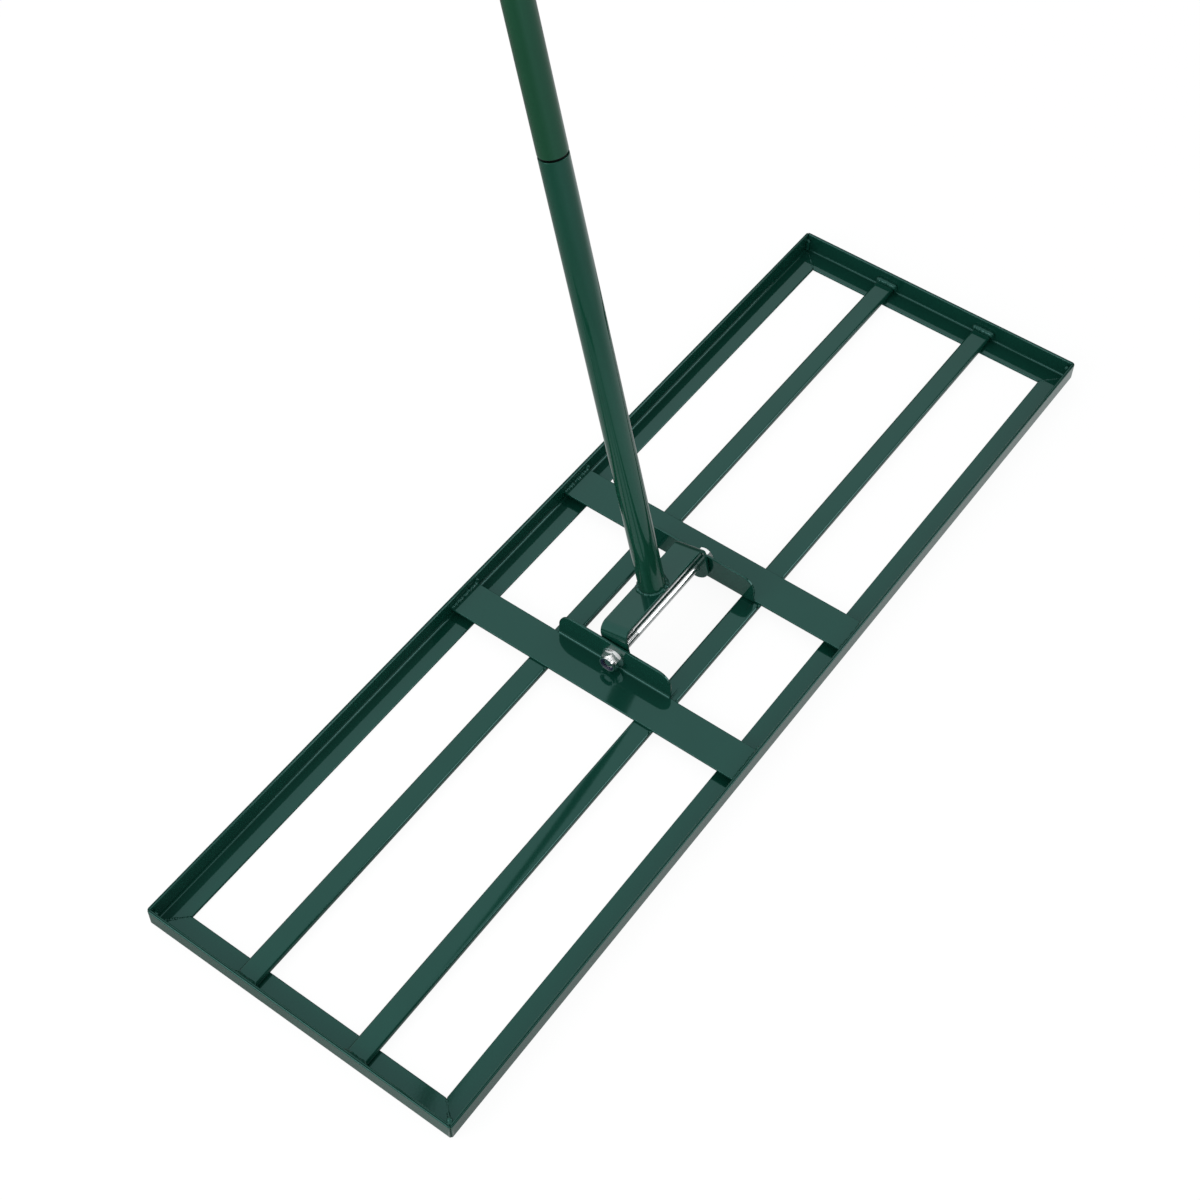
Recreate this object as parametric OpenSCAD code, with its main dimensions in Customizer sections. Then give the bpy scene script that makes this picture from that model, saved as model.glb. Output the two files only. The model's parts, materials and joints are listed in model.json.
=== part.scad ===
// Lawn leveling rake: a welded grid of folded angle rails, flat bars and cross plates
// that drags flat on the ground, and a long screw-together handle on one cross bolt.
// Millimetres, +Z up, X along the head. The origin is on the ground under the middle of
// the front rail's sole, and the modules below draw the head round its own middle.

/* [Head rails] */
// Length of the head along X
head_l = 800; // [600:10:1200]
// Width of the head along Y
head_w = 254; // [230:2:360]
// Height of a rail's upright wall
rail_h = 18.5; // [15:0.5:24]
// Width of a rail's flat sole
rail_b = 20; // [14:0.5:28]
// Sheet thickness of the rails
rail_t = 2.5; // [2:0.1:3.2]
// Outside radius of a rail's folded heel
rail_r = 5; // [4:0.25:6]
// Radius of the head's four outer corners, seen from above
corner_r = 3; // [1:0.25:3]

/* [Long bars] */
// Width of a flat bar
bar_w = 16; // [12:0.5:24]
// Thickness of a flat bar
bar_t = 6; // [3:0.25:7]
// Distance between the two bars' centre lines
bar_pitch = 92; // [70:1:120]

/* [Cross plates and ears] */
// Width of a cross plate along X
plate_w = 30; // [20:1:50]
// Sheet thickness of the cross plates and their ears
plate_t = 2; // [1.5:0.1:2.5]
// Length of an ear along Y
ear_w = 98; // [70:1:120]
// Height of an ear above its plate
ear_h = 22; // [20:0.5:30]
// Radius of an ear's two top corners
ear_r = 12; // [4:0.5:16]
// Inside radius of the fold between plate and ear
ear_fold_r = 1.5; // [0.5:0.25:2.5]

/* [Yoke] */
// Outside width of the yoke along the bolt
yoke_w = 101; // [80:1:130]
// Width of the yoke's strip
strip_w = 22.5; // [20:0.5:26]
// Thickness of the yoke's strip
strip_t = 2.5; // [2:0.1:4]
// Outside radius of the yoke's two folds
yoke_r = 8; // [5:0.5:10]
// Height of the yoke's top face above the bolt's axis, along the handle
yoke_h = 23.5; // [22:0.5:34]
// Side play between a yoke cheek and the ear beside it
side_play = 1.4; // [0.5:0.1:3]

/* [Pivot bolt and lock nut] */
// Diameter of the bolt
bolt_d = 8; // [6:0.5:9]
// Height of the bolt's axis above the cross plates
pivot_rise = 9.5; // [9.5:0.25:11]
// Radial clearance of the yoke's holes on the bolt
pivot_clearance = 0.1; // [0.02:0.01:0.1]
// Radial clearance of the ears' holes on the bolt
ear_clearance = 0.3; // [0.1:0.05:0.6]
// Radial clearance of the nut and its nylon ring on the bolt
thread_clearance = 0.05; // [0.02:0.01:0.1]
// Width across the flats of the bolt's head and of the nut
hex_af = 13; // [11:0.5:15]
// Diameter of the flanges under the bolt's head and the nut
flange_d = 18; // [16:0.5:19]
// Thickness of a flange at its rim
flange_t = 1.2; // [0.8:0.1:2]
// Height of the bolt's head above the ear, flange included
head_h = 8; // [6:0.5:10]
// Height of the lock nut above the ear, flange included
nut_h = 9; // [8.5:0.5:13]
// Diameter of the round collar that holds the nylon ring
collar_d = 12.8; // [11.6:0.1:13]
// Height of the round collar that holds the nylon ring
collar_h = 2; // [1.5:0.25:4]
// Wall of the collar round the nylon ring
collar_t = 0.9; // [0.6:0.1:1.2]
// Depth of the bolt's end inside the nut's open end
bolt_depth = 1.5; // [0.5:0.25:2]
// Turn of the bolt's head about its axis, which brings a flat to the top
bolt_turn = 30; // [0:5:55]

/* [Handle] */
// Lean of the handle from upright, towards +Y
lean = 13.7; // [-60:0.1:60]
// Outside diameter of the handle tubes
tube_d = 20; // [18:0.5:20]
// Wall of the handle tubes
tube_t = 1.2; // [0.8:0.1:2]
// Length of the lowest tube, which is welded to the yoke
root_tube_l = 365; // [250:5:500]
// Length of each screwed-on tube
tube_l = 365; // [250:5:500]
// Height of the groove between two tubes
groove_h = 1.8; // [0.6:0.2:3]
// Depth of the groove between two tubes
groove_depth = 0.9; // [0.4:0.1:1]

/* [Screw joints inside the handle] */
// Diameter of the joints' threaded studs
stud_d = 10; // [8:0.5:12]
// Length of a stud's thread
stud_l = 24; // [16:1:40]
// Length of the plug that holds a stud in its tube
plug_l = 20; // [12:1:40]
// Length of the threaded socket in the tube below
socket_l = 30; // [25:1:50]
// Radial fit of plugs and sockets in their tubes
plug_fit = 0.05; // [0.02:0.01:0.2]

/* [Grip] */
// Length of the grip sleeve on its tube
grip_l = 130; // [90:5:200]
// Wall of the grip sleeve
grip_t = 3; // [2:0.25:5]
// Thickness of the grip's closed end
grip_end_t = 5; // [3:0.5:8]
// Height of the grip's raised rings
ring_h = 0.9; // [0.5:0.1:1.5]
// Distance between the grip's rings
ring_pitch = 9; // [6:0.5:14]
// Radial fit of the grip on its tube
grip_fit = 0.05; // [0.02:0.01:0.2]

/* [Weld beads] */
// Radius of the beads at the ends of the cross plates
plate_bead_r = 3; // [2:0.25:4]
// Radius of the beads at the ends of the bars
bar_bead_r = 4; // [3.5:0.25:5]
// Radius of the beads in the corners of the head
corner_bead_r = 3; // [2:0.25:4]
// Distance from a corner bead's top to the rails' top
corner_bead_drop = 3; // [1:0.5:5]
// Leg of the bead round the foot of the handle
foot_bead_r = 2; // [1:0.25:2]

/* [Hidden] */
$fn = 64;
sink = 1;
screwed_tubes = 4;

bar_z = rail_t;
plate_z = bar_z + bar_t;
plate_top = plate_z + plate_t;
ear_top = plate_top + ear_h;
pivot_z = plate_top + pivot_rise;

ear_in = yoke_w / 2 + side_play;
ear_out = ear_in + plate_t;
fold_x = ear_out + ear_fold_r;
fold_z = plate_top + ear_fold_r;

wall_x = head_l / 2 - rail_t;
wall_y = head_w / 2 - rail_t;
rail_inner_r = rail_r - rail_t;
sole_y = head_w / 2 - (rail_r + rail_b) / 2;
bar_l = 2 * (wall_x - rail_inner_r);

tube_bore_d = tube_d - 2 * tube_t;
nut_hex_h = nut_h - collar_h;
nylon_ring_d = collar_d - 2 * collar_t;
bolt_l = 2 * ear_out + nut_h - bolt_depth;
grip_d = tube_d + 2 * (grip_fit + grip_t);
rings = floor((grip_l - 2 * ring_pitch) / ring_pitch);

function tube_foot(n) = n == 1 ? yoke_h : tube_top(n - 1) + groove_h;
function tube_top(n) = tube_foot(n) + (n == 1 ? root_tube_l : tube_l);

PAINT = "#17473a";
ZINC = "#c9ccd0";
STEEL = "#8e9296";
NYLON = "#24386b";
RUBBER = "#1b1c1d";

// Moves what is drawn round the head's middle to the origin under the front rail's sole
module placed() {
    translate([0, sole_y, 0])
        children();
}

// Places its children in the handle's own frame: bolt on X, handle along +Z
module on_handle() {
    translate([0, 0, pivot_z])
        rotate([-lean, 0, 0])
            children();
}

// Places its children on the bolt's axis at x, with their +Z along +X or -X
module on_bolt(x, way) {
    translate([x, 0, pivot_z])
        rotate([0, way * 90, 0])
            children();
}

// Turns a flat outline drawn in Y and Z so that it is as long as l along X
module along_x(l) {
    rotate([90, 0, 90])
        translate([0, 0, -l / 2])
            linear_extrude(l)
                children();
}

// Section of a rail: outer face on the left, sole at the bottom, heel folded round
module rail_section() {
    translate([0, rail_r])
        square([rail_t, rail_h - rail_r]);
    translate([rail_r, 0])
        square([rail_b - rail_r, rail_t]);
    intersection() {
        translate([rail_r, rail_r])
            difference() {
                circle(rail_r);
                circle(rail_inner_r);
            }
        square(rail_r);
    }
}

// A rail as long as l on the -Y side, as far out as w/2, mitred at both ends
module rail(l, w) {
    intersection() {
        translate([0, -w / 2, 0])
            along_x(l)
                rail_section();
        linear_extrude(rail_h)
            polygon([
                [-l / 2, -w / 2], [l / 2, -w / 2],
                [l / 2 - rail_b, rail_b - w / 2], [rail_b - l / 2, rail_b - w / 2]
            ]);
        linear_extrude(rail_h)
            round_corners(l, w);
    }
}

// Outline of the head as a rectangle of l by w with round corners
module round_corners(l, w) {
    square([l - 2 * corner_r, w], center = true);
    square([l, w - 2 * corner_r], center = true);
    for (sx = [-1, 1], sy = [-1, 1])
        translate([sx * (l / 2 - corner_r), sy * (w / 2 - corner_r)])
            circle(corner_r);
}

module front_rail() {
    color(PAINT) rail(head_l, head_w);
}

module rear_rail() {
    color(PAINT) rotate(180) rail(head_l, head_w);
}

module left_end_rail() {
    color(PAINT) rotate(-90) rail(head_w, head_l);
}

module right_end_rail() {
    color(PAINT) rotate(90) rail(head_w, head_l);
}

// A flat bar that lies on the soles of the two end rails
module bar(side) {
    translate([-bar_l / 2, side * bar_pitch / 2 - bar_w / 2, bar_z])
        cube([bar_l, bar_w, bar_t]);
}

module rear_bar() {
    color(PAINT) bar(1);
}

module front_bar() {
    color(PAINT) bar(-1);
}

// Section of an ear and its fold, for a plate on the +X side
module ear_section() {
    translate([ear_in, fold_z])
        square([plate_t, ear_top - fold_z]);
    intersection() {
        translate([fold_x, fold_z])
            difference() {
                circle(ear_fold_r + plate_t);
                circle(ear_fold_r);
            }
        translate([ear_in, plate_z])
            square(ear_fold_r + plate_t);
    }
}

// Outline of an ear in Y and Z, with round top corners
module ear_outline() {
    translate([-ear_w / 2, plate_z])
        square([ear_w, ear_top - ear_r - plate_z]);
    translate([ear_r - ear_w / 2, plate_z])
        square([ear_w - 2 * ear_r, ear_top - plate_z]);
    for (side = [-1, 1])
        translate([side * (ear_w / 2 - ear_r), ear_top - ear_r])
            circle(ear_r);
}

// Strip of a cross plate on the +X side, cut out where the ear's fold begins
module plate_strip() {
    difference() {
        translate([ear_out, -wall_y, plate_z])
            cube([plate_w, 2 * wall_y, plate_t]);
        translate([ear_out - sink, -ear_w / 2, plate_z - sink])
            cube([ear_fold_r + sink, ear_w, plate_t + 2 * sink]);
    }
}

// A cross plate on the +X side: a strip across the bars with an ear folded up from it
module cross_plate() {
    difference() {
        union() {
            plate_strip();
            intersection() {
                rotate([90, 0, 0])
                    linear_extrude(ear_w, center = true)
                        ear_section();
                along_x(2 * fold_x)
                    ear_outline();
            }
        }
        on_bolt(ear_in - sink, 1)
            cylinder(plate_t + 2 * sink, d = bolt_d + 2 * ear_clearance);
    }
}

module right_cross_plate() {
    color(PAINT) cross_plate();
}

module left_cross_plate() {
    color(PAINT) mirror([1, 0, 0]) cross_plate();
}

// A quarter-round bead as long as l along X, in the corner of a floor and a wall at +Y
module bead(l, r) {
    intersection() {
        union() {
            rotate([0, 90, 0])
                cylinder(l - 2 * r, r = r, center = true);
            for (side = [-1, 1])
                translate([side * (l / 2 - r), 0, 0])
                    sphere(r);
        }
        translate([-l / 2, -r, 0])
            cube([l, r, r]);
    }
}

// Upright beads inside the four mitred corners
module corner_welds() {
    foot = rail_r;
    color(PAINT)
        for (sx = [-1, 1], sy = [-1, 1])
            intersection() {
                translate([sx * wall_x, sy * wall_y, foot])
                    cylinder(rail_h - corner_bead_drop - foot, r = corner_bead_r);
                translate([sx * (wall_x - corner_bead_r / 2), sy * (wall_y - corner_bead_r / 2), rail_h / 2])
                    cube([corner_bead_r, corner_bead_r, rail_h], center = true);
            }
}

// Beads that close the gap between the bars' ends and the end rails' walls
module bar_welds() {
    color(PAINT)
        for (turn = [90, -90], side = [-1, 1])
            rotate(turn)
                translate([side * bar_pitch / 2, wall_x, plate_z])
                    bead(bar_w, bar_bead_r);
}

// Beads on top of the cross plates' ends, against the long rails' walls
module plate_welds() {
    color(PAINT)
        for (turn = [0, 180], side = [-1, 1])
            rotate(turn)
                translate([side * (ear_out + plate_w / 2), wall_y, plate_top])
                    bead(plate_w, plate_bead_r);
}

// A flanged hexagon of height h that stands on its flange
module flanged_hex(h) {
    cone_h = (flange_d - hex_af) / 8;
    cylinder(flange_t, d = flange_d);
    translate([0, 0, flange_t])
        cylinder(cone_h, d1 = flange_d, d2 = hex_af);
    intersection() {
        cylinder(h, d = hex_af / cos(30), $fn = 6);
        cylinder(h, r1 = hex_af / 2 + h, r2 = hex_af / 2);
    }
}

// Cross bolt: head outside the right ear, plain shank through both ears
module pivot_bolt() {
    color(ZINC) {
        on_bolt(ear_out, 1)
            rotate(bolt_turn)
                flanged_hex(head_h);
        on_bolt(ear_out, -1)
            cylinder(bolt_l, d = bolt_d);
    }
}

// Flanged lock nut outside the left ear, with a collar round its nylon ring
module lock_nut() {
    color(ZINC)
        on_bolt(-ear_out, -1)
            difference() {
                union() {
                    flanged_hex(nut_hex_h);
                    cylinder(nut_h, d = collar_d);
                }
                translate([0, 0, -sink])
                    cylinder(nut_h + 2 * sink, d = bolt_d + 2 * thread_clearance);
                translate([0, 0, nut_hex_h])
                    cylinder(collar_h + sink, d = nylon_ring_d);
            }
}

// Nylon ring inside the nut's collar, tight on the bolt's thread
module nylon_ring() {
    color(NYLON)
        on_bolt(-ear_out, -1)
            translate([0, 0, nut_hex_h])
                difference() {
                    cylinder(collar_h - collar_t / 2, d = nylon_ring_d - 2 * thread_clearance);
                    translate([0, 0, -sink])
                        cylinder(collar_h + 2 * sink, d = bolt_d + 2 * thread_clearance);
                }
}

// Section of the yoke in X and Z: a strip folded down at both ends
module yoke_section() {
    cheek_h = yoke_h - yoke_r;
    translate([yoke_r - yoke_w / 2, yoke_h - strip_t])
        square([yoke_w - 2 * yoke_r, strip_t]);
    for (side = [0, 1])
        mirror([side, 0]) {
            translate([yoke_w / 2 - strip_t, -strip_w / 2])
                square([strip_t, cheek_h + strip_w / 2]);
            intersection() {
                translate([yoke_w / 2 - yoke_r, cheek_h])
                    difference() {
                        circle(yoke_r);
                        circle(yoke_r - strip_t);
                    }
                translate([yoke_w / 2 - yoke_r, cheek_h])
                    square(yoke_r);
            }
        }
}

// Yoke: a folded strip whose round-ended cheeks turn on the bolt
module yoke() {
    color(PAINT)
        on_handle()
            difference() {
                intersection() {
                    rotate([90, 0, 0])
                        linear_extrude(strip_w, center = true)
                            yoke_section();
                    along_x(yoke_w) {
                        circle(d = strip_w);
                        translate([-strip_w / 2, 0])
                            square([strip_w, yoke_h]);
                    }
                }
                rotate([0, 90, 0])
                    cylinder(yoke_w + 2 * sink, d = bolt_d + 2 * pivot_clearance, center = true);
            }
}

// Fillet bead round the foot of the lowest tube
module foot_weld() {
    inner_r = tube_d / 2 + plug_fit;
    color(PAINT)
        on_handle()
            translate([0, 0, yoke_h])
                rotate_extrude()
                    polygon([[inner_r, 0], [tube_d / 2 + foot_bead_r, 0], [inner_r, foot_bead_r]]);
}

// Tube number n of the handle, counted from the yoke
module tube(n) {
    color(PAINT)
        on_handle()
            translate([0, 0, tube_foot(n)])
                linear_extrude(tube_top(n) - tube_foot(n))
                    difference() {
                        circle(d = tube_d);
                        circle(d = tube_bore_d);
                    }
}

// Threaded socket pressed into the top of tube n
module socket(n) {
    color(STEEL)
        on_handle()
            translate([0, 0, tube_top(n) - socket_l])
                linear_extrude(socket_l)
                    difference() {
                        circle(d = tube_bore_d - 2 * plug_fit);
                        circle(d = stud_d + 2 * thread_clearance);
                    }
}

// Stud in the foot of tube n + 1: plug above, collar in the groove, thread below
module stud(n) {
    color(STEEL)
        on_handle()
            translate([0, 0, tube_top(n)]) {
                cylinder(groove_h, d = tube_d - 2 * groove_depth);
                translate([0, 0, groove_h])
                    cylinder(plug_l, d = tube_bore_d - 2 * plug_fit);
                translate([0, 0, -stud_l])
                    cylinder(stud_l, d = stud_d);
            }
}

// Soft sleeve over the top tube's end, ringed for the hands and closed at the top
module grip() {
    top = tube_top(screwed_tubes + 1);
    color(RUBBER)
        on_handle()
            translate([0, 0, top - grip_l])
                difference() {
                    union() {
                        cylinder(grip_l, d = grip_d);
                        translate([0, 0, grip_l])
                            grip_cap();
                        for (n = [1 : rings])
                            translate([0, 0, n * ring_pitch])
                                rotate_extrude()
                                    translate([grip_d / 2 - ring_h, 0])
                                        circle(2 * ring_h);
                    }
                    translate([0, 0, -sink])
                        cylinder(grip_l + sink, d = tube_d + 2 * grip_fit);
                }
}

// Rounded cap of the grip, a disc with a quarter-round rim
module grip_cap() {
    rotate_extrude() {
        square([grip_d / 2 - grip_end_t, grip_end_t]);
        intersection() {
            translate([grip_d / 2 - grip_end_t, 0])
                circle(grip_end_t);
            square([grip_d / 2, grip_end_t]);
        }
    }
}

placed() rear_rail();
placed() front_rail();
placed() left_end_rail();
placed() right_end_rail();
placed() rear_bar();
placed() front_bar();
placed() left_cross_plate();
placed() right_cross_plate();
placed() corner_welds();
placed() bar_welds();
placed() plate_welds();
placed() pivot_bolt();
placed() lock_nut();
placed() nylon_ring();
placed() yoke();
placed() foot_weld();
placed() tube(1);  // tube_1
placed() tube(2);  // tube_2
placed() tube(3);  // tube_3
placed() tube(4);  // tube_4
placed() tube(5);  // tube_5
placed() socket(1);  // socket_1
placed() socket(2);  // socket_2
placed() socket(3);  // socket_3
placed() socket(4);  // socket_4
placed() stud(1);  // stud_1
placed() stud(2);  // stud_2
placed() stud(3);  // stud_3
placed() stud(4);  // stud_4
placed() grip();
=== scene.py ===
import json
import math
import random

import bpy
from mathutils import Matrix, Vector

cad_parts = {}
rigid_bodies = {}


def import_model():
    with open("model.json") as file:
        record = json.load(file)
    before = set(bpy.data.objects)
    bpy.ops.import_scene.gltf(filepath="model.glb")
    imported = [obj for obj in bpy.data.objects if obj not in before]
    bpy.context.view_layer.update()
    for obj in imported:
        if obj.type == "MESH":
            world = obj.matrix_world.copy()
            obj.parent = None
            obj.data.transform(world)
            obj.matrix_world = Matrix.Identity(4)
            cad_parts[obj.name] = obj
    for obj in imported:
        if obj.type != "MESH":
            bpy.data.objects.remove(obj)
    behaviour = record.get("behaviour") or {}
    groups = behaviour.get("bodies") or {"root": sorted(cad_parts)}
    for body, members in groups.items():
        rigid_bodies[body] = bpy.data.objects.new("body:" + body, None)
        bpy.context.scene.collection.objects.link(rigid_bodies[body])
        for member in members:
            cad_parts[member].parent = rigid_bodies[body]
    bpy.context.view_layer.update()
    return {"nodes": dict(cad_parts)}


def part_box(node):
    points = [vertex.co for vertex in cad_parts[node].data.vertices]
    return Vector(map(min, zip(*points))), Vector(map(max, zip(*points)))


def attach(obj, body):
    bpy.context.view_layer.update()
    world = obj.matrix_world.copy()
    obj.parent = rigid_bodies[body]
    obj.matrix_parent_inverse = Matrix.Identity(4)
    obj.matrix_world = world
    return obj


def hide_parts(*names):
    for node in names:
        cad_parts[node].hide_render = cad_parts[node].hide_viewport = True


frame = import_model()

# Rails: four angles folded from 2.5 mm steel sheet, mitred at the corners, welded into one
# frame and powder coated a dark green. The melted coat draws back from each sheared edge and
# leaves it slightly round, so that every edge catches a thin line of light.
MM = 0.001
SHEET = 2.5 * MM
ROUNDED_RIM = 0.8 * MM
BEND_CENTRE = 5 * MM
INSIDE_BEND = 1.4 * MM
half_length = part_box("right_end_rail")[1].x
half_width = (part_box("rear_rail")[1].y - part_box("front_rail")[0].y) / 2
head_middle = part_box("front_rail")[0].y + half_width


def linear(hex_colour):
    """Turns an sRGB hex colour into the linear colour that a shader socket takes."""
    channels = [int(hex_colour[i:i + 2], 16) / 255 for i in (1, 3, 5)]
    return [c / 12.92 if c <= 0.04045 else ((c + 0.055) / 1.055) ** 2.4 for c in channels] + [1]


def add_node(tree, kind, settings, sockets):
    """Adds a node, sets its properties, and fills its sockets with values or other outputs."""
    node = tree.nodes.new(kind)
    for name, value in settings.items():
        setattr(node, name, value)
    for socket, value in sockets.items():
        if isinstance(value, bpy.types.NodeSocket):
            tree.links.new(value, node.inputs[socket])
        else:
            node.inputs[socket].default_value = value
    return node


def new_material(name, sockets):
    """A material of one Principled shader, with its even values on the shader's own sockets,
    and the place on the piece that its patterns follow."""
    material = bpy.data.materials.new(name)
    material.use_nodes = True
    tree = material.node_tree
    shader = tree.nodes["Principled BSDF"]
    for socket, value in sockets.items():
        shader.inputs[socket].default_value = value
    place = add_node(tree, "ShaderNodeTexCoord", {}, {}).outputs["Object"]
    return material, tree, shader, place


CLOUD_SIZE = 30 * MM
PEEL_SIZE = 3 * MM
PEEL_DEPTH = 0.008 * MM


def powder_coat(name, dark, light):
    """Powder coat: melted polyester powder, a smooth thick film with a wet gloss over a cloudy
    green.
    Its Specular Tint colours every mirror image cyan, a painted cool light that stands in for a
    bluish sky. It mirrors what stands on it, and a faint orange peel of about 3 mm makes the
    mirror images swim a little."""
    # Specular Tint: painted cool light, a cyan tint laid on every mirror image in the coat.
    material, tree, shader, place = new_material(
        name, {"Roughness": 0.06, "IOR": 1.5, "Specular Tint": linear("#B8FFFA")})
    cloud = add_node(tree, "ShaderNodeTexNoise", {}, {
        "Vector": place, "Scale": 1 / CLOUD_SIZE, "Detail": 3})
    green = add_node(tree, "ShaderNodeMix", {"data_type": "RGBA"}, {
        "Factor": cloud.outputs["Fac"], 6: linear(dark), 7: linear(light)})
    tree.links.new(green.outputs[2], shader.inputs["Base Color"])
    peel = add_node(tree, "ShaderNodeTexNoise", {}, {
        "Vector": place, "Scale": 1 / PEEL_SIZE, "Detail": 1})
    skin = add_node(tree, "ShaderNodeBump", {}, {
        "Height": peel.outputs["Fac"], "Strength": 0.5, "Distance": PEEL_DEPTH})
    tree.links.new(skin.outputs["Normal"], shader.inputs["Normal"])
    return material


head_coat = powder_coat("head_powder_coat", "#0A372C", "#0D3D32")


def start_editing(piece, mode):
    """Makes a piece the only selected one and opens its mesh for editing, nothing selected."""
    bpy.ops.object.select_all(action="DESELECT")
    piece.select_set(True)
    bpy.context.view_layer.objects.active = piece
    bpy.ops.object.mode_set(mode="EDIT")
    bpy.ops.mesh.select_mode(type=mode)
    bpy.ops.mesh.select_all(action="DESELECT")


def finish_piece(piece, body, material, slot, *nodes):
    """Gives a finished mesh its material and its body, and hides the CAD nodes that it stands for.
    """
    piece.data.materials.clear()
    piece.data.materials.append(material)
    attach(piece, body)
    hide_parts(*nodes)


def smooth_shading(piece, angle):
    """Smooths the shading over edges flatter than an angle, and keeps large flats flat."""
    bpy.ops.object.select_all(action="DESELECT")
    piece.select_set(True)
    bpy.context.view_layer.objects.active = piece
    bpy.ops.object.shade_smooth_by_angle(angle=angle)
    bpy.ops.object.modifier_add(type="WEIGHTED_NORMAL")
    piece.modifiers[-1].keep_sharp = True
    bpy.ops.object.modifier_apply(modifier=piece.modifiers[-1].name)


SAME_POINT = 0.002 * MM
SLIVER = 0.005 * MM
FLAT_ANGLE = math.radians(0.5)
SHARP_ANGLE = math.radians(40)


def round_edges(node, radius, keep_sharp=None, fine_detail=True):
    """Copies a CAD node's mesh, joins its triangles into whole faces and rounds its sharp edges,
    apart from those that keep_sharp picks out. A piece with fine detail is rounded less wherever
    the rounding of two edges would overlap."""
    piece = bpy.data.objects.new(node + "_finish", frame["nodes"][node].data.copy())
    bpy.context.scene.collection.objects.link(piece)
    start_editing(piece, "EDGE")
    bpy.ops.mesh.customdata_custom_splitnormals_clear()
    bpy.ops.mesh.select_all(action="SELECT")
    bpy.ops.mesh.remove_doubles(threshold=SAME_POINT)
    bpy.ops.mesh.dissolve_limited(angle_limit=FLAT_ANGLE)
    bpy.ops.mesh.select_all(action="DESELECT")
    bpy.ops.mesh.edges_select_sharp(sharpness=SHARP_ANGLE)
    bpy.ops.object.mode_set(mode="OBJECT")
    points = piece.data.vertices
    for edge in piece.data.edges:
        if keep_sharp and edge.select and keep_sharp(*(points[i].co for i in edge.vertices)):
            edge.select = False
    bpy.ops.object.mode_set(mode="EDIT")
    bpy.ops.mesh.bevel(offset=radius, segments=3, profile=0.5, clamp_overlap=fine_detail)
    bpy.ops.mesh.select_all(action="SELECT")
    bpy.ops.mesh.remove_doubles(threshold=SLIVER)
    bpy.ops.object.mode_set(mode="OBJECT")
    smooth_shading(piece, SHARP_ANGLE)
    return piece


MEASURE_ERROR = 0.01 * MM


def on_mitre(a, b):
    """The edges of a mitred end stay sharp, because the weld closes the joint flush."""
    return all(
        abs(half_length - abs(p.x) - half_width + abs(p.y - head_middle)) < MEASURE_ERROR
        for p in (a, b))


def tighten_bend(rail):
    """Draws the inside of the fold together at both ends, down to the narrow nose of the press
    that made it."""
    cad_bend = BEND_CENTRE - SHEET
    for x_side, y_side in ((-1, -1), (-1, 1), (1, -1), (1, 1)):
        start_editing(rail, "VERT")
        bpy.ops.object.mode_set(mode="OBJECT")
        for point in rail.data.vertices:
            x, y, z = point.co.x * x_side, (point.co.y - head_middle) * y_side, point.co.z
            inward = min(half_length - x, half_width - y)
            from_centre = math.hypot(inward - BEND_CENTRE, z - BEND_CENTRE)
            on_arc = abs(from_centre - cad_bend) < 2 * MEASURE_ERROR
            in_fold = max(inward, z) < BEND_CENTRE + MEASURE_ERROR
            point.select = on_arc and in_fold and x > 0 and y > 0
        bpy.ops.object.mode_set(mode="EDIT")
        corner = Vector((
            x_side * (half_length - SHEET), head_middle + y_side * (half_width - SHEET), SHEET))
        if rail.data.total_vert_sel:
            bpy.ops.transform.resize(
                value=[INSIDE_BEND / cad_bend] * 3, center_override=corner)
        bpy.ops.mesh.customdata_custom_splitnormals_clear()
        bpy.ops.object.mode_set(mode="OBJECT")
    smooth_shading(rail, SHARP_ANGLE)


for node in ("rear_rail", "front_rail", "left_end_rail", "right_end_rail"):
    rail = round_edges(node, ROUNDED_RIM, on_mitre, fine_detail=False)
    tighten_bend(rail)
    finish_piece(rail, "head", head_coat, "green_paint", node)

# Long bars: two flat steel bars that lie on the end rails' soles, hot rolled with well rounded
# edges and coated together with the frame.
ROLLED_EDGE = 2.0 * MM
for node in ("rear_bar", "front_bar"):
    bar = round_edges(node, ROLLED_EDGE)
    finish_piece(bar, "head", head_coat, "green_paint", node)

# Cross plates: two strips of 2 mm sheet across the bars, each with an ear folded up from its
# inner edge and punched for the pivot bolt.
SHEARED_EDGE = 0.5 * MM
for node in ("left_cross_plate", "right_cross_plate"):
    plate = round_edges(node, SHEARED_EDGE, fine_detail=False)
    finish_piece(plate, "head", head_coat, "green_paint", node)

# Weld beads: short runs of electric welding in the corners of the frame, at the bars' ends and
# at the plates' ends, laid drop on drop by hand and coated with the rest. No two drops are
# alike, and the near front corner got the longest run. All sizes here are in mm.
drops_seed = random.Random(7)
MELT_GRAIN = 0.3


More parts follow.
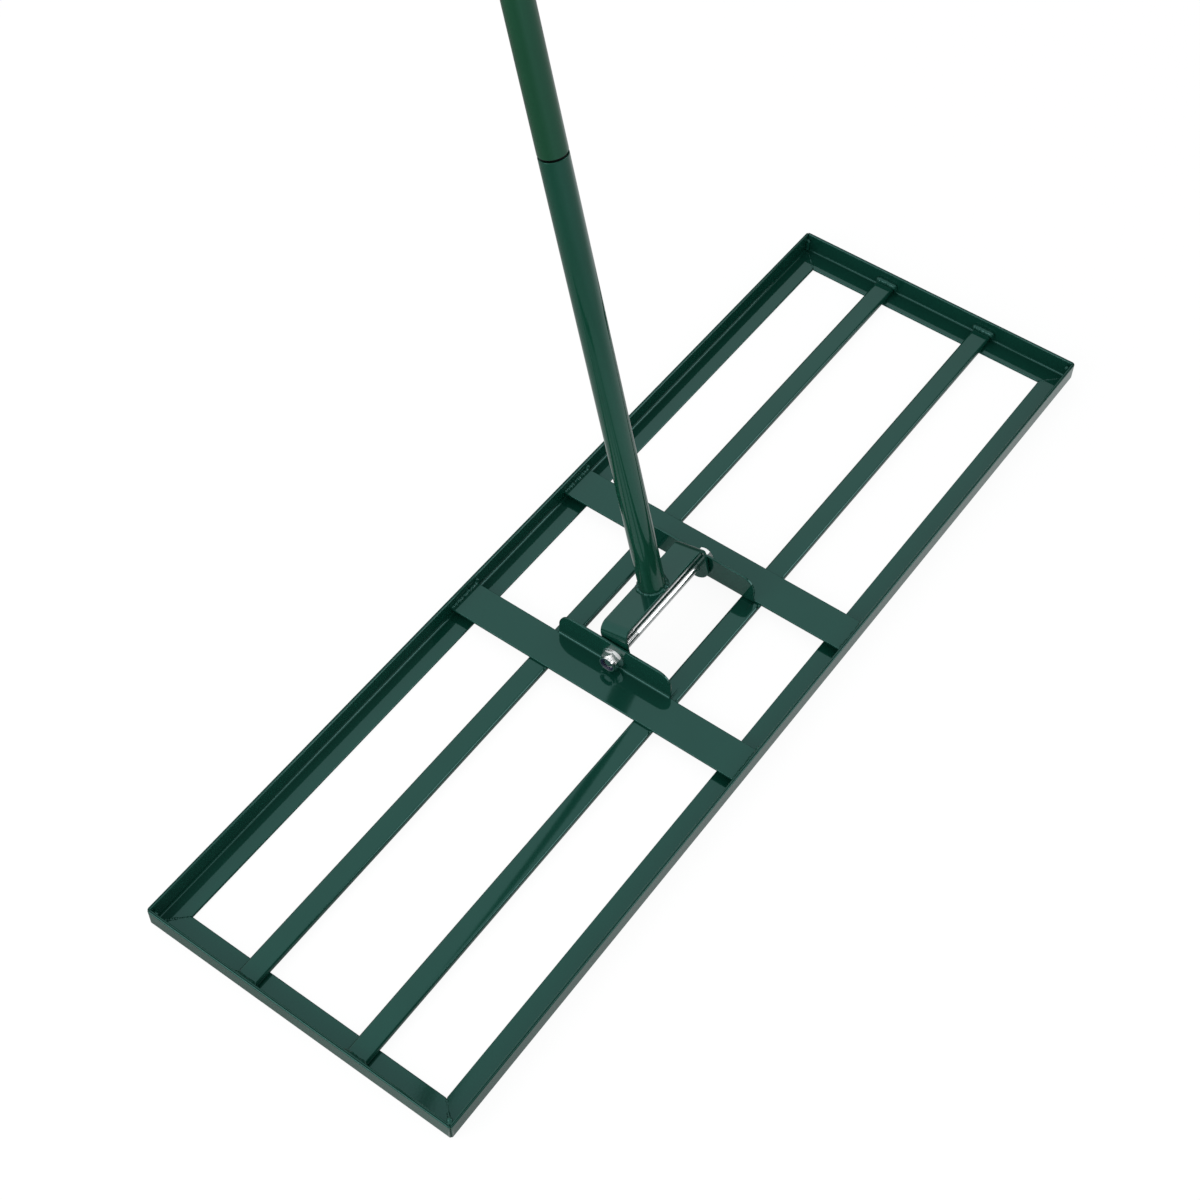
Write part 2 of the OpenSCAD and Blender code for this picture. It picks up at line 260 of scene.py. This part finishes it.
def weld(name, body, drops, melting, *nodes):
    """Melts overlapping drops of weld metal, each a place and a radius, into one uneven bead."""
    bpy.ops.object.select_all(action="DESELECT")
    for place, radius in drops:
        bpy.ops.mesh.primitive_ico_sphere_add(
            subdivisions=3, radius=radius * MM, location=Vector(place) * MM)
        bpy.context.object.name = name + "_drop"
    bpy.ops.object.select_all(action="DESELECT")
    for piece in bpy.context.scene.objects:
        piece.select_set(piece.name.startswith(name + "_drop"))
    bpy.context.view_layer.objects.active = bpy.context.selected_objects[0]
    bpy.ops.object.join()
    bead = bpy.context.object
    bead.name = name
    bpy.ops.object.transform_apply(location=True, rotation=True, scale=True)
    bpy.ops.object.modifier_add(type="REMESH")
    bead.modifiers[-1].voxel_size = MELT_GRAIN * MM
    bpy.ops.object.modifier_apply(modifier=bead.modifiers[-1].name)
    bpy.ops.object.modifier_add(type="SMOOTH")
    bead.modifiers[-1].iterations = melting
    bpy.ops.object.modifier_apply(modifier=bead.modifiers[-1].name)
    bpy.ops.object.shade_smooth()
    finish_piece(bead, body, head_coat, "green_paint", *nodes)


def drop_run(start, end, radius, spacing, unevenness):
    """Drops along a straight line, each a little off the line and larger or smaller than the
    last."""
    count = max(2, round((end - start).length / spacing) + 1)
    drops = []
    for i in range(count):
        off = Vector([drops_seed.uniform(-0.15, 0.15) for _ in range(3)]) * radius * unevenness
        swell = 1 + drops_seed.uniform(-unevenness, unevenness) / 3
        drops.append((start.lerp(end, i / (count - 1)) + off, radius * swell))
    return drops


CORNER_BEAD_FOOT = Vector((0, 0, 4))
CORNER_BEAD_TOPS = {(-1, -1): 16.5, (-1, 1): 12, (1, -1): 13, (1, 1): 12}
SEAM_START, SEAM_END = 3, 15
BAR_OFFSET = 46
BAR_BEAD_HALF = Vector((0, 7.2, 0))
PLATE_OFFSET = 68.9
PLATE_HALF = 15
PLATE_BEAD_HALF = Vector((13.6, 0, 0))
middle = head_middle / MM
wall_x = half_length / MM - SHEET / MM
wall_y = half_width / MM - SHEET / MM
bar_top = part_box("front_bar")[1].z / MM
corner_drops, bar_drops, plate_drops = [], [], []
for x_side in (-1, 1):
    for y_side in (-1, 1):
        # up the corner, a spat-out crater at the top, and a flat run along the mitre's seam
        corner = Vector((x_side * (wall_x - 0.9), middle + y_side * (wall_y - 0.9), 0))
        bead_top = corner + Vector((0, 0, CORNER_BEAD_TOPS[x_side, y_side]))
        corner_drops += drop_run(
            corner + CORNER_BEAD_FOOT, bead_top, radius=2.0, spacing=1.1, unevenness=0.35)
        crater = Vector((-1.4 * x_side, -1.4 * y_side, 0.6))
        corner_drops += drop_run(
            bead_top - crater * 0.3, bead_top + crater, radius=1.3, spacing=0.6, unevenness=1.6)
        seam = Vector((-x_side, -y_side, 0))
        corner_drops += drop_run(
            corner + Vector((0, 0, 1.8)) + seam * SEAM_START,
            corner + Vector((0, 0, 1.6)) + seam * SEAM_END,
            radius=1.2, spacing=1.7, unevenness=0.9)
        # across the bar's end, and down one side of it
        bar_y = middle + y_side * BAR_OFFSET
        bar_end = Vector((x_side * (wall_x - 1.1), bar_y, bar_top + 0.4))
        bar_drops += drop_run(
            bar_end - BAR_BEAD_HALF, bar_end + BAR_BEAD_HALF,
            radius=2.9, spacing=1.5, unevenness=0.3)
        bar_drops += drop_run(
            bar_end + Vector((0.3 * x_side, -8.0, 0)),
            bar_end + Vector((0.6 * x_side, -8.4, -2.4)),
            radius=2.2, spacing=1.2, unevenness=0.3)
        # across the plate's end, a splat where the run stops, and a tack on the bar at each edge
        plate_x = x_side * PLATE_OFFSET
        plate_end = Vector((plate_x, middle + y_side * (wall_y - 0.7), bar_top + 2.4))
        plate_drops += drop_run(
            plate_end - PLATE_BEAD_HALF, plate_end + PLATE_BEAD_HALF,
            radius=1.8, spacing=1.3, unevenness=0.9)
        splat = plate_end + Vector((14.4, 0.4, 0.8))
        plate_drops += drop_run(
            splat, splat + Vector((0.8, 0.2, 1.6)), radius=1.5, spacing=0.8, unevenness=0.9)
        for edge in (-PLATE_HALF, PLATE_HALF):
            tack = Vector((plate_x + edge, bar_y - 8.0, bar_top - 0.1))
            plate_drops += drop_run(
                tack, tack + Vector((0.06 * edge, 0, 0.3)), radius=1.2, spacing=1.2, unevenness=0.6)
weld("corner_beads", "head", corner_drops, 4, "corner_welds")
weld("bar_beads", "head", bar_drops, 4, "bar_welds")
weld("plate_beads", "head", plate_drops, 6, "plate_welds")

# Pivot bolt: an M8 flanged bolt, cold forged, with a thread rolled on the end away from its
# head, and plated with bright zinc. It goes through both ears and carries the yoke.
# Zinc plate: a thin bright metal skin that mirrors its surroundings, blurred by fine pickling
# marks.
PICKLING_SIZE = 1.5 * MM
zinc_plate, tree, shader, place = new_material(
    "bright_zinc_plate", {"Metallic": 1.0, "Base Color": linear("#E4E6E6")})
haze = add_node(tree, "ShaderNodeTexNoise", {}, {
    "Vector": place, "Scale": 1 / PICKLING_SIZE, "Detail": 3})
blur = add_node(tree, "ShaderNodeMapRange", {}, {
    "Value": haze.outputs["Fac"], "To Min": 0.17, "To Max": 0.24})
tree.links.new(blur.outputs["Result"], shader.inputs["Roughness"])

FORGED_EDGE = 0.3 * MM
BOLT_RADIUS = 4 * MM
THREAD_PITCH = 1.25 * MM
THREAD_DEPTH = 0.65 * MM
THREAD_START = -28 * MM
THREAD_STEPS = 32
THREAD_SHARP = math.radians(35)
TURN_SEAM = 0.001 * MM
CORE_SIDES = 48
TIP_CHAMFER = 0.5 * MM
bolt_low, bolt_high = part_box("pivot_bolt")
pivot = Vector((0, (bolt_low.y + bolt_high.y) / 2, (bolt_low.z + bolt_high.z) / 2))


def draw_line(name, points):
    """Draws a bare line through points by extruding one vertex from each to the next."""
    bpy.ops.object.select_all(action="DESELECT")
    bpy.ops.mesh.primitive_plane_add(size=MM, location=points[0])
    line = bpy.context.object
    line.name = name
    bpy.ops.object.transform_apply(location=True, rotation=True, scale=True)
    bpy.ops.object.mode_set(mode="EDIT")
    bpy.ops.mesh.select_mode(type="VERT")
    bpy.ops.mesh.select_all(action="SELECT")
    bpy.ops.mesh.merge(type="CENTER")
    for before, after in zip(points, points[1:]):
        bpy.ops.mesh.extrude_region_move(
            TRANSFORM_OT_translate={"value": Vector(after) - Vector(before)})
    bpy.ops.object.mode_set(mode="OBJECT")
    return line


shank = round_edges("pivot_bolt", FORGED_EDGE)
start_editing(shank, "VERT")
bpy.ops.mesh.select_all(action="SELECT")
bpy.ops.mesh.bisect(
    plane_co=(THREAD_START, 0, 0), plane_no=(1, 0, 0), use_fill=True, clear_inner=True)
bpy.ops.object.mode_set(mode="OBJECT")

# The thread's outline over one turn, in pitches along the bolt and in thread depths.
ridge = [(0, 0), (0.1, 0), (0.45, -1), (0.65, -1), (1, 0)]
crest = pivot.z + BOLT_RADIUS
thread = draw_line("pivot_bolt_thread", [
    (THREAD_START - along * THREAD_PITCH, pivot.y, crest + down * THREAD_DEPTH)
    for along, down in ridge])
bpy.context.scene.cursor.location = pivot
bpy.ops.object.origin_set(type="ORIGIN_CURSOR")
bpy.ops.object.modifier_add(type="SCREW")
screw = thread.modifiers[-1]
screw.axis = "X"
screw.screw_offset = -THREAD_PITCH
screw.iterations = int((THREAD_START - bolt_low.x) / THREAD_PITCH) - 1
screw.steps = screw.render_steps = THREAD_STEPS
screw.use_merge_vertices = True
screw.merge_threshold = TURN_SEAM
bpy.ops.object.modifier_apply(modifier=screw.name)
bpy.ops.object.transform_apply(location=True, rotation=True, scale=True)
start_editing(thread, "VERT")
bpy.ops.mesh.select_all(action="SELECT")
bpy.ops.mesh.remove_doubles(threshold=SLIVER)
bpy.ops.mesh.fill_holes(sides=0)
bpy.ops.object.mode_set(mode="OBJECT")

bpy.ops.mesh.primitive_cylinder_add(
    vertices=CORE_SIDES, radius=BOLT_RADIUS - THREAD_DEPTH, depth=THREAD_START - bolt_low.x,
    location=((THREAD_START + bolt_low.x) / 2, pivot.y, pivot.z), rotation=(0, math.pi / 2, 0))
core = bpy.context.object
bpy.ops.object.transform_apply(location=True, rotation=True, scale=True)
start_editing(core, "FACE")
bpy.ops.object.mode_set(mode="OBJECT")
for face in core.data.polygons:
    face.select = round(face.normal.x) == -1
bpy.ops.object.mode_set(mode="EDIT")
bpy.ops.mesh.bevel(offset=TIP_CHAMFER, segments=2)
bpy.ops.object.mode_set(mode="OBJECT")

bpy.ops.object.select_all(action="DESELECT")
for piece in (core, thread, shank):
    piece.select_set(True)
bpy.context.view_layer.objects.active = shank
bpy.ops.object.join()
start_editing(shank, "VERT")
bpy.ops.mesh.select_all(action="SELECT")
bpy.ops.mesh.normals_make_consistent(inside=False)
bpy.ops.object.mode_set(mode="OBJECT")
smooth_shading(shank, THREAD_SHARP)
finish_piece(shank, "head", zinc_plate, "zinc_plate", "pivot_bolt")

# Lock nut: an M8 flanged nut, forged and plated like the bolt, with a rolled collar over a ring
# of nylon that grips the thread and keeps the hinge stiff.
FLANGE_RIM = 8.9 * MM
FLANGE_EDGE = 0.55 * MM
FLANGE_SHARP = math.radians(60)


def on_flange(a, b):
    """The flange's edges stay sharp at first, because they are rounded more than the rest."""
    return all(math.hypot(p.y - pivot.y, p.z - pivot.z) > FLANGE_RIM for p in (a, b))


nut = round_edges("lock_nut", FORGED_EDGE, on_flange)
start_editing(nut, "EDGE")
bpy.ops.mesh.edges_select_sharp(sharpness=FLANGE_SHARP)
bpy.ops.mesh.bevel(offset=FLANGE_EDGE, segments=4, profile=0.5, clamp_overlap=True)
bpy.ops.mesh.select_all(action="SELECT")
bpy.ops.mesh.remove_doubles(threshold=SLIVER)
bpy.ops.mesh.customdata_custom_splitnormals_clear()
bpy.ops.object.mode_set(mode="OBJECT")
smooth_shading(nut, SHARP_ANGLE)
finish_piece(nut, "head", zinc_plate, "zinc_plate", "lock_nut")

# Nylon ring: the locking ring, moulded of nylon and held in the nut by its rolled collar. The
# bolt's thread cuts its own way through it.
# Moulded nylon: a waxy dark blue plastic with a soft shine, scuffed where the thread went in.
SCUFF_SIZE = 0.8 * MM
RING_EDGE = 0.3 * MM
nylon, tree, shader, place = new_material("moulded_nylon", {"IOR": 1.53})
scuff = add_node(tree, "ShaderNodeTexNoise", {}, {
    "Vector": place, "Scale": 1 / SCUFF_SIZE, "Detail": 4})
blue = add_node(tree, "ShaderNodeMix", {"data_type": "RGBA"}, {
    "Factor": scuff.outputs["Fac"], 6: linear("#10182E"), 7: linear("#1B2644")})
tree.links.new(blue.outputs[2], shader.inputs["Base Color"])
wax = add_node(tree, "ShaderNodeMapRange", {}, {
    "Value": scuff.outputs["Fac"], "To Min": 0.3, "To Max": 0.55})
tree.links.new(wax.outputs["Result"], shader.inputs["Roughness"])
ring = round_edges("nylon_ring", RING_EDGE)
finish_piece(ring, "head", nylon, "blue_nylon", "nylon_ring")

# Yoke: one steel strip folded down at both ends, with round cheeks that turn on the bolt.
# Its edges are sheared and coated like those of the plates.
yoke = round_edges("yoke", SHEARED_EDGE, fine_detail=False)
finish_piece(yoke, "handle", head_coat, "green_paint", "yoke")

# Handle tubes: five lengths of drawn steel tube, deburred at the ends and powder coated. The
# lowest is welded to the yoke, and the others screw on, end to end. They are all one green paint,
# but their greens follow the photograph, where the handle looks warmer the higher it goes: the
# warmer upper green, and the lowest tube's green between it and the head's, are painted light.
DEBURRED_EDGE = 0.4 * MM
# Lit copies of the one green paint: the foot's coat and the warmer upper coat are painted light.
foot_coat_painted_light = powder_coat("foot_powder_coat_painted_light", "#0F3C2D", "#134233")
tube_coat_painted_warm_light = powder_coat("tube_powder_coat_painted_warm_light", "#143F28", "#18452E")
for node in ("tube_1", "tube_2", "tube_3", "tube_4", "tube_5"):
    tube = round_edges(node, DEBURRED_EDGE)
    coat = foot_coat_painted_light if node == "tube_1" else tube_coat_painted_warm_light
    finish_piece(tube, "handle", coat, "green_paint", node)

# Foot weld: a bead laid round the lowest tube where it stands on the yoke, turned by hand, so
# that the drops swell and thin round the ring. Sizes are in mm, as for the other beads.
HANDLE_LEAN = math.radians(13.7)
FOOT_DROPS = 44
FOOT_RING = 10.4
FOOT_HEIGHT = 23.7
FOOT_DROP = 1.7
lean = Matrix.Rotation(-HANDLE_LEAN, 3, "X")
ring_drops = []
for i in range(FOOT_DROPS):
    angle = math.tau * (i + drops_seed.uniform(-0.3, 0.3)) / FOOT_DROPS
    radius = FOOT_DROP + 0.3 * math.sin(3 * angle + 1) + drops_seed.uniform(-0.6, 0.6)
    out = Vector((FOOT_RING * math.cos(angle), FOOT_RING * math.sin(angle), FOOT_HEIGHT))
    ring_drops.append((pivot / MM + lean @ out, radius))
weld("foot_bead", "handle", ring_drops, 3, "foot_weld")

# Studs and sockets: turned from steel bar, pressed into the tubes' ends and threaded, so that
# the handle screws together from five lengths. Only a thin dark groove shows at each joint.
# Near-black steel: turned steel with rings left by the lathe tool, coloured nearly black so that
# the groove at each joint shows dark; the near black is painted shade for the groove. The rings
# are about 1.2 mm apart, coarser than a lathe's feed, so that they show. A wave texture of scale
# 1 runs through 20 radians in a metre.
RING_SPACING = 1.18375 * MM
WAVE_RADIANS = 20
# Near-black colour: painted shade in the groove at each joint, where the turned steel shows.
black_steel, tree, shader, place = new_material("near_black_steel", {"Metallic": 1.0})
along = add_node(tree, "ShaderNodeMapping", {}, {
    "Vector": place, "Rotation": (HANDLE_LEAN, 0, 0)})
rings = add_node(tree, "ShaderNodeTexWave", {"bands_direction": "Z"}, {
    "Vector": along.outputs["Vector"],
    "Scale": math.tau / WAVE_RADIANS / RING_SPACING, "Distortion": 0.4})
steel = add_node(tree, "ShaderNodeMix", {"data_type": "RGBA"}, {
    "Factor": rings.outputs["Fac"], 6: linear("#101112"), 7: linear("#1C1D1E")})
tree.links.new(steel.outputs[2], shader.inputs["Base Color"])
tool = add_node(tree, "ShaderNodeMapRange", {}, {
    "Value": rings.outputs["Fac"], "To Min": 0.25, "To Max": 0.4})
tree.links.new(tool.outputs["Result"], shader.inputs["Roughness"])
for node, piece in frame["nodes"].items():
    if node.startswith(("socket_", "stud_")):
        piece.material_slots[0].link = "OBJECT"
        piece.material_slots[0].material = black_steel

# Grip: a sleeve of black rubber, moulded with rings and a closed end, and pushed on over the
# end of the top tube, where it holds by its own stretch.
# Moulded rubber: matt black with a fine sparkle of mould grain and grey dust in it.
GRAIN_SIZE = 0.7 * MM
GRAIN_DEPTH = 0.15 * MM
DUST_SIZE = 12 * MM
MOULDED_EDGE = 0.6 * MM
rubber, tree, shader, place = new_material("moulded_rubber", {"IOR": 1.52})
grain = add_node(tree, "ShaderNodeTexNoise", {}, {
    "Vector": place, "Scale": 1 / GRAIN_SIZE, "Detail": 2})
dust = add_node(tree, "ShaderNodeTexNoise", {}, {
    "Vector": place, "Scale": 1 / DUST_SIZE, "Detail": 4})
black = add_node(tree, "ShaderNodeMix", {"data_type": "RGBA"}, {
    "Factor": dust.outputs["Fac"], 6: linear("#1B1B1C"), 7: linear("#2B2B2C")})
tree.links.new(black.outputs[2], shader.inputs["Base Color"])
sheen = add_node(tree, "ShaderNodeMapRange", {}, {
    "Value": dust.outputs["Fac"], "To Min": 0.55, "To Max": 0.75})
tree.links.new(sheen.outputs["Result"], shader.inputs["Roughness"])
stipple = add_node(tree, "ShaderNodeBump", {}, {
    "Height": grain.outputs["Fac"], "Strength": 0.5, "Distance": GRAIN_DEPTH})
tree.links.new(stipple.outputs["Normal"], shader.inputs["Normal"])
grip = round_edges("grip", MOULDED_EDGE)
finish_piece(grip, "handle", rubber, "grip_rubber", "grip")

# Floor: plain pale paint, white to the eye with a faint shadow. The glossy coat mirrors it, and
# in mirror images it glows with painted light, brighter in front of the head than behind it, as
# in a room lit from one side, and greyer far away.
FLOOR_SIZE = 30
FLOOR_GAP = 0.2 * MM
WHITE = linear("#FFFFFF")
bpy.ops.mesh.primitive_plane_add(size=FLOOR_SIZE, location=(0, 0, -FLOOR_GAP))
floor = bpy.context.object
floor.name = "floor"
floor_paint = bpy.data.materials.new("floor_paint")
floor_paint.use_nodes = True
tree = floor_paint.node_tree
tree.nodes.clear()
seen = add_node(tree, "ShaderNodeLightPath", {}, {})
mirrored = add_node(tree, "ShaderNodeMath", {"operation": "MAXIMUM"}, {
    0: seen.outputs["Is Glossy Ray"], 1: seen.outputs["Is Transmission Ray"]})
place = add_node(tree, "ShaderNodeTexCoord", {}, {}).outputs["Object"]
spread = add_node(tree, "ShaderNodeMapping", {}, {
    "Vector": place, "Location": (-0.12, -head_middle, 0), "Scale": (0.8, 1, 1)})
reach = add_node(tree, "ShaderNodeVectorMath", {"operation": "LENGTH"}, {0: spread.outputs[0]})
far = add_node(tree, "ShaderNodeMapRange", {}, {
    "Value": reach.outputs["Value"],
    "From Min": 0.25, "From Max": 0.6, "To Min": 0.0, "To Max": 1.0})
side = add_node(tree, "ShaderNodeVectorMath", {"operation": "DOT_PRODUCT"}, {
    0: spread.outputs[0], 1: (0.5, -1, 0)})
# Painted light: the floor's glow in mirror images, brightest in front of the head.
near_light = add_node(tree, "ShaderNodeMapRange", {}, {
    "Value": side.outputs["Value"],
    "From Min": -0.25, "From Max": 0.25, "To Min": 0.1, "To Max": 1.4})
far_light = add_node(tree, "ShaderNodeMapRange", {}, {
    "Value": side.outputs["Value"],
    "From Min": -0.25, "From Max": 0.6, "To Min": 0.25, "To Max": 0.65})
dim = add_node(tree, "ShaderNodeMix", {"data_type": "FLOAT"}, {
    0: far.outputs[0], 2: near_light.outputs[0], 3: far_light.outputs[0]})
glow = add_node(tree, "ShaderNodeMix", {"data_type": "FLOAT"}, {
    0: mirrored.outputs[0], 2: 1.05, 3: dim.outputs[0]})
# The share of even white over the shaded paint: most of it for the eye, and in mirror images
# little near the head, where its shadow lies, and all of it far away.
far_share = add_node(tree, "ShaderNodeMath", {"operation": "MULTIPLY_ADD"}, {
    0: far.outputs[0], 1: 0.7, 2: 0.3})
mirror_share = add_node(tree, "ShaderNodeMath", {"operation": "MULTIPLY"}, {
    0: mirrored.outputs[0], 1: far_share.outputs[0]})
share = add_node(tree, "ShaderNodeMath", {"operation": "MULTIPLY_ADD"}, {
    0: seen.outputs["Is Camera Ray"], 1: 0.88, 2: mirror_share.outputs[0]})
matt = add_node(tree, "ShaderNodeBsdfDiffuse", {}, {"Color": linear("#F5F6F6")})
white = add_node(tree, "ShaderNodeEmission", {}, {
    "Color": WHITE, "Strength": glow.outputs[0]})
mix = add_node(tree, "ShaderNodeMixShader", {}, {
    0: share.outputs[0], 1: matt.outputs[0], 2: white.outputs[0]})
add_node(tree, "ShaderNodeOutputMaterial", {}, {"Surface": mix.outputs[0]})
floor.data.materials.append(floor_paint)

# Surround: an even soft white all round, plain white to the eye. In mirror images it is a
# ceiling that is bright overhead and behind the near end, and grey towards the horizon.
world = bpy.data.worlds.new("white_surround")
bpy.context.scene.world = world
world.use_nodes = True
tree = world.node_tree
tree.nodes.clear()
seen = add_node(tree, "ShaderNodeLightPath", {}, {})
mirrored = add_node(tree, "ShaderNodeMath", {"operation": "MAXIMUM"}, {
    0: seen.outputs["Is Glossy Ray"], 1: seen.outputs["Is Transmission Ray"]})
direction = add_node(tree, "ShaderNodeTexCoord", {}, {}).outputs["Generated"]
height = add_node(tree, "ShaderNodeVectorMath", {"operation": "DOT_PRODUCT"}, {
    0: direction, 1: (-0.35, 0.35, 1)})
ceiling = add_node(tree, "ShaderNodeMapRange", {}, {
    "Value": height.outputs["Value"],
    "From Min": 0.35, "From Max": 0.6, "To Min": 0.12, "To Max": 1.2})
soft = add_node(tree, "ShaderNodeBackground", {}, {"Color": WHITE, "Strength": 0.65})
bright = add_node(tree, "ShaderNodeBackground", {}, {
    "Color": WHITE, "Strength": ceiling.outputs[0]})
plain = add_node(tree, "ShaderNodeBackground", {}, {"Color": WHITE, "Strength": 1})
mix = add_node(tree, "ShaderNodeMixShader", {}, {
    0: mirrored.outputs[0], 1: soft.outputs[0], 2: bright.outputs[0]})
mix = add_node(tree, "ShaderNodeMixShader", {}, {
    0: seen.outputs["Is Camera Ray"], 1: mix.outputs[0], 2: plain.outputs[0]})
add_node(tree, "ShaderNodeOutputWorld", {}, {"Surface": mix.outputs[0]})

# Lamps: a softbox on the camera's left, which rounded edges catch as thin bright lines, a panel
# on its right that shows only in mirror images, and a large fill from the camera's side that
# lights the head and isn't mirrored.
LAMP_DISTANCE = 2.0
for name, way, size, energy, lights, mirrors in (
        ("left_softbox", (-0.80, 0.35, 0.49), 0.9, 8, True, True),
        ("right_panel", (0.49, -0.75, 0.44), 1.2, 16, False, True),
        ("front_fill", (-0.90, -0.20, 0.40), 1.4, 7, True, False)):
    aim = Vector(way).normalized()
    bpy.ops.object.light_add(
        type="AREA", location=Vector((0, head_middle, 0)) + LAMP_DISTANCE * aim,
        rotation=aim.to_track_quat("Z", "Y").to_euler())
    lamp = bpy.context.object
    lamp.name = name
    lamp.data.size = size
    lamp.data.energy = energy
    lamp.visible_camera = False
    lamp.visible_diffuse = lights
    lamp.visible_glossy = mirrors

# Camera: stands past the near end, in front of the front rail, and looks down on the head, as in
# the photograph.
CAMERA_PLACE = Vector((-0.7731, head_middle - 0.4924, 1.2357))
CAMERA_AZIMUTH = math.radians(-144.89)
CAMERA_HEIGHT = math.radians(52.83)
CAMERA_ROLL = math.radians(1.20)
LENS_PER_WIDTH = 2101.30 / 1200
camera_data = bpy.data.cameras.new("camera")
camera = bpy.data.objects.new("camera", camera_data)
bpy.context.scene.collection.objects.link(camera)
camera_data.sensor_width = 36
camera_data.lens = camera_data.sensor_width * LENS_PER_WIDTH
back = Vector((
    math.cos(CAMERA_HEIGHT) * math.cos(CAMERA_AZIMUTH),
    math.cos(CAMERA_HEIGHT) * math.sin(CAMERA_AZIMUTH),
    math.sin(CAMERA_HEIGHT)))
turn = (-back).to_track_quat("-Z", "Y").to_matrix() @ Matrix.Rotation(CAMERA_ROLL, 3, "Z")
camera.matrix_world = Matrix.Translation(CAMERA_PLACE) @ turn.to_4x4()
bpy.context.scene.camera = camera

bpy.context.scene.view_settings.view_transform = "Standard"
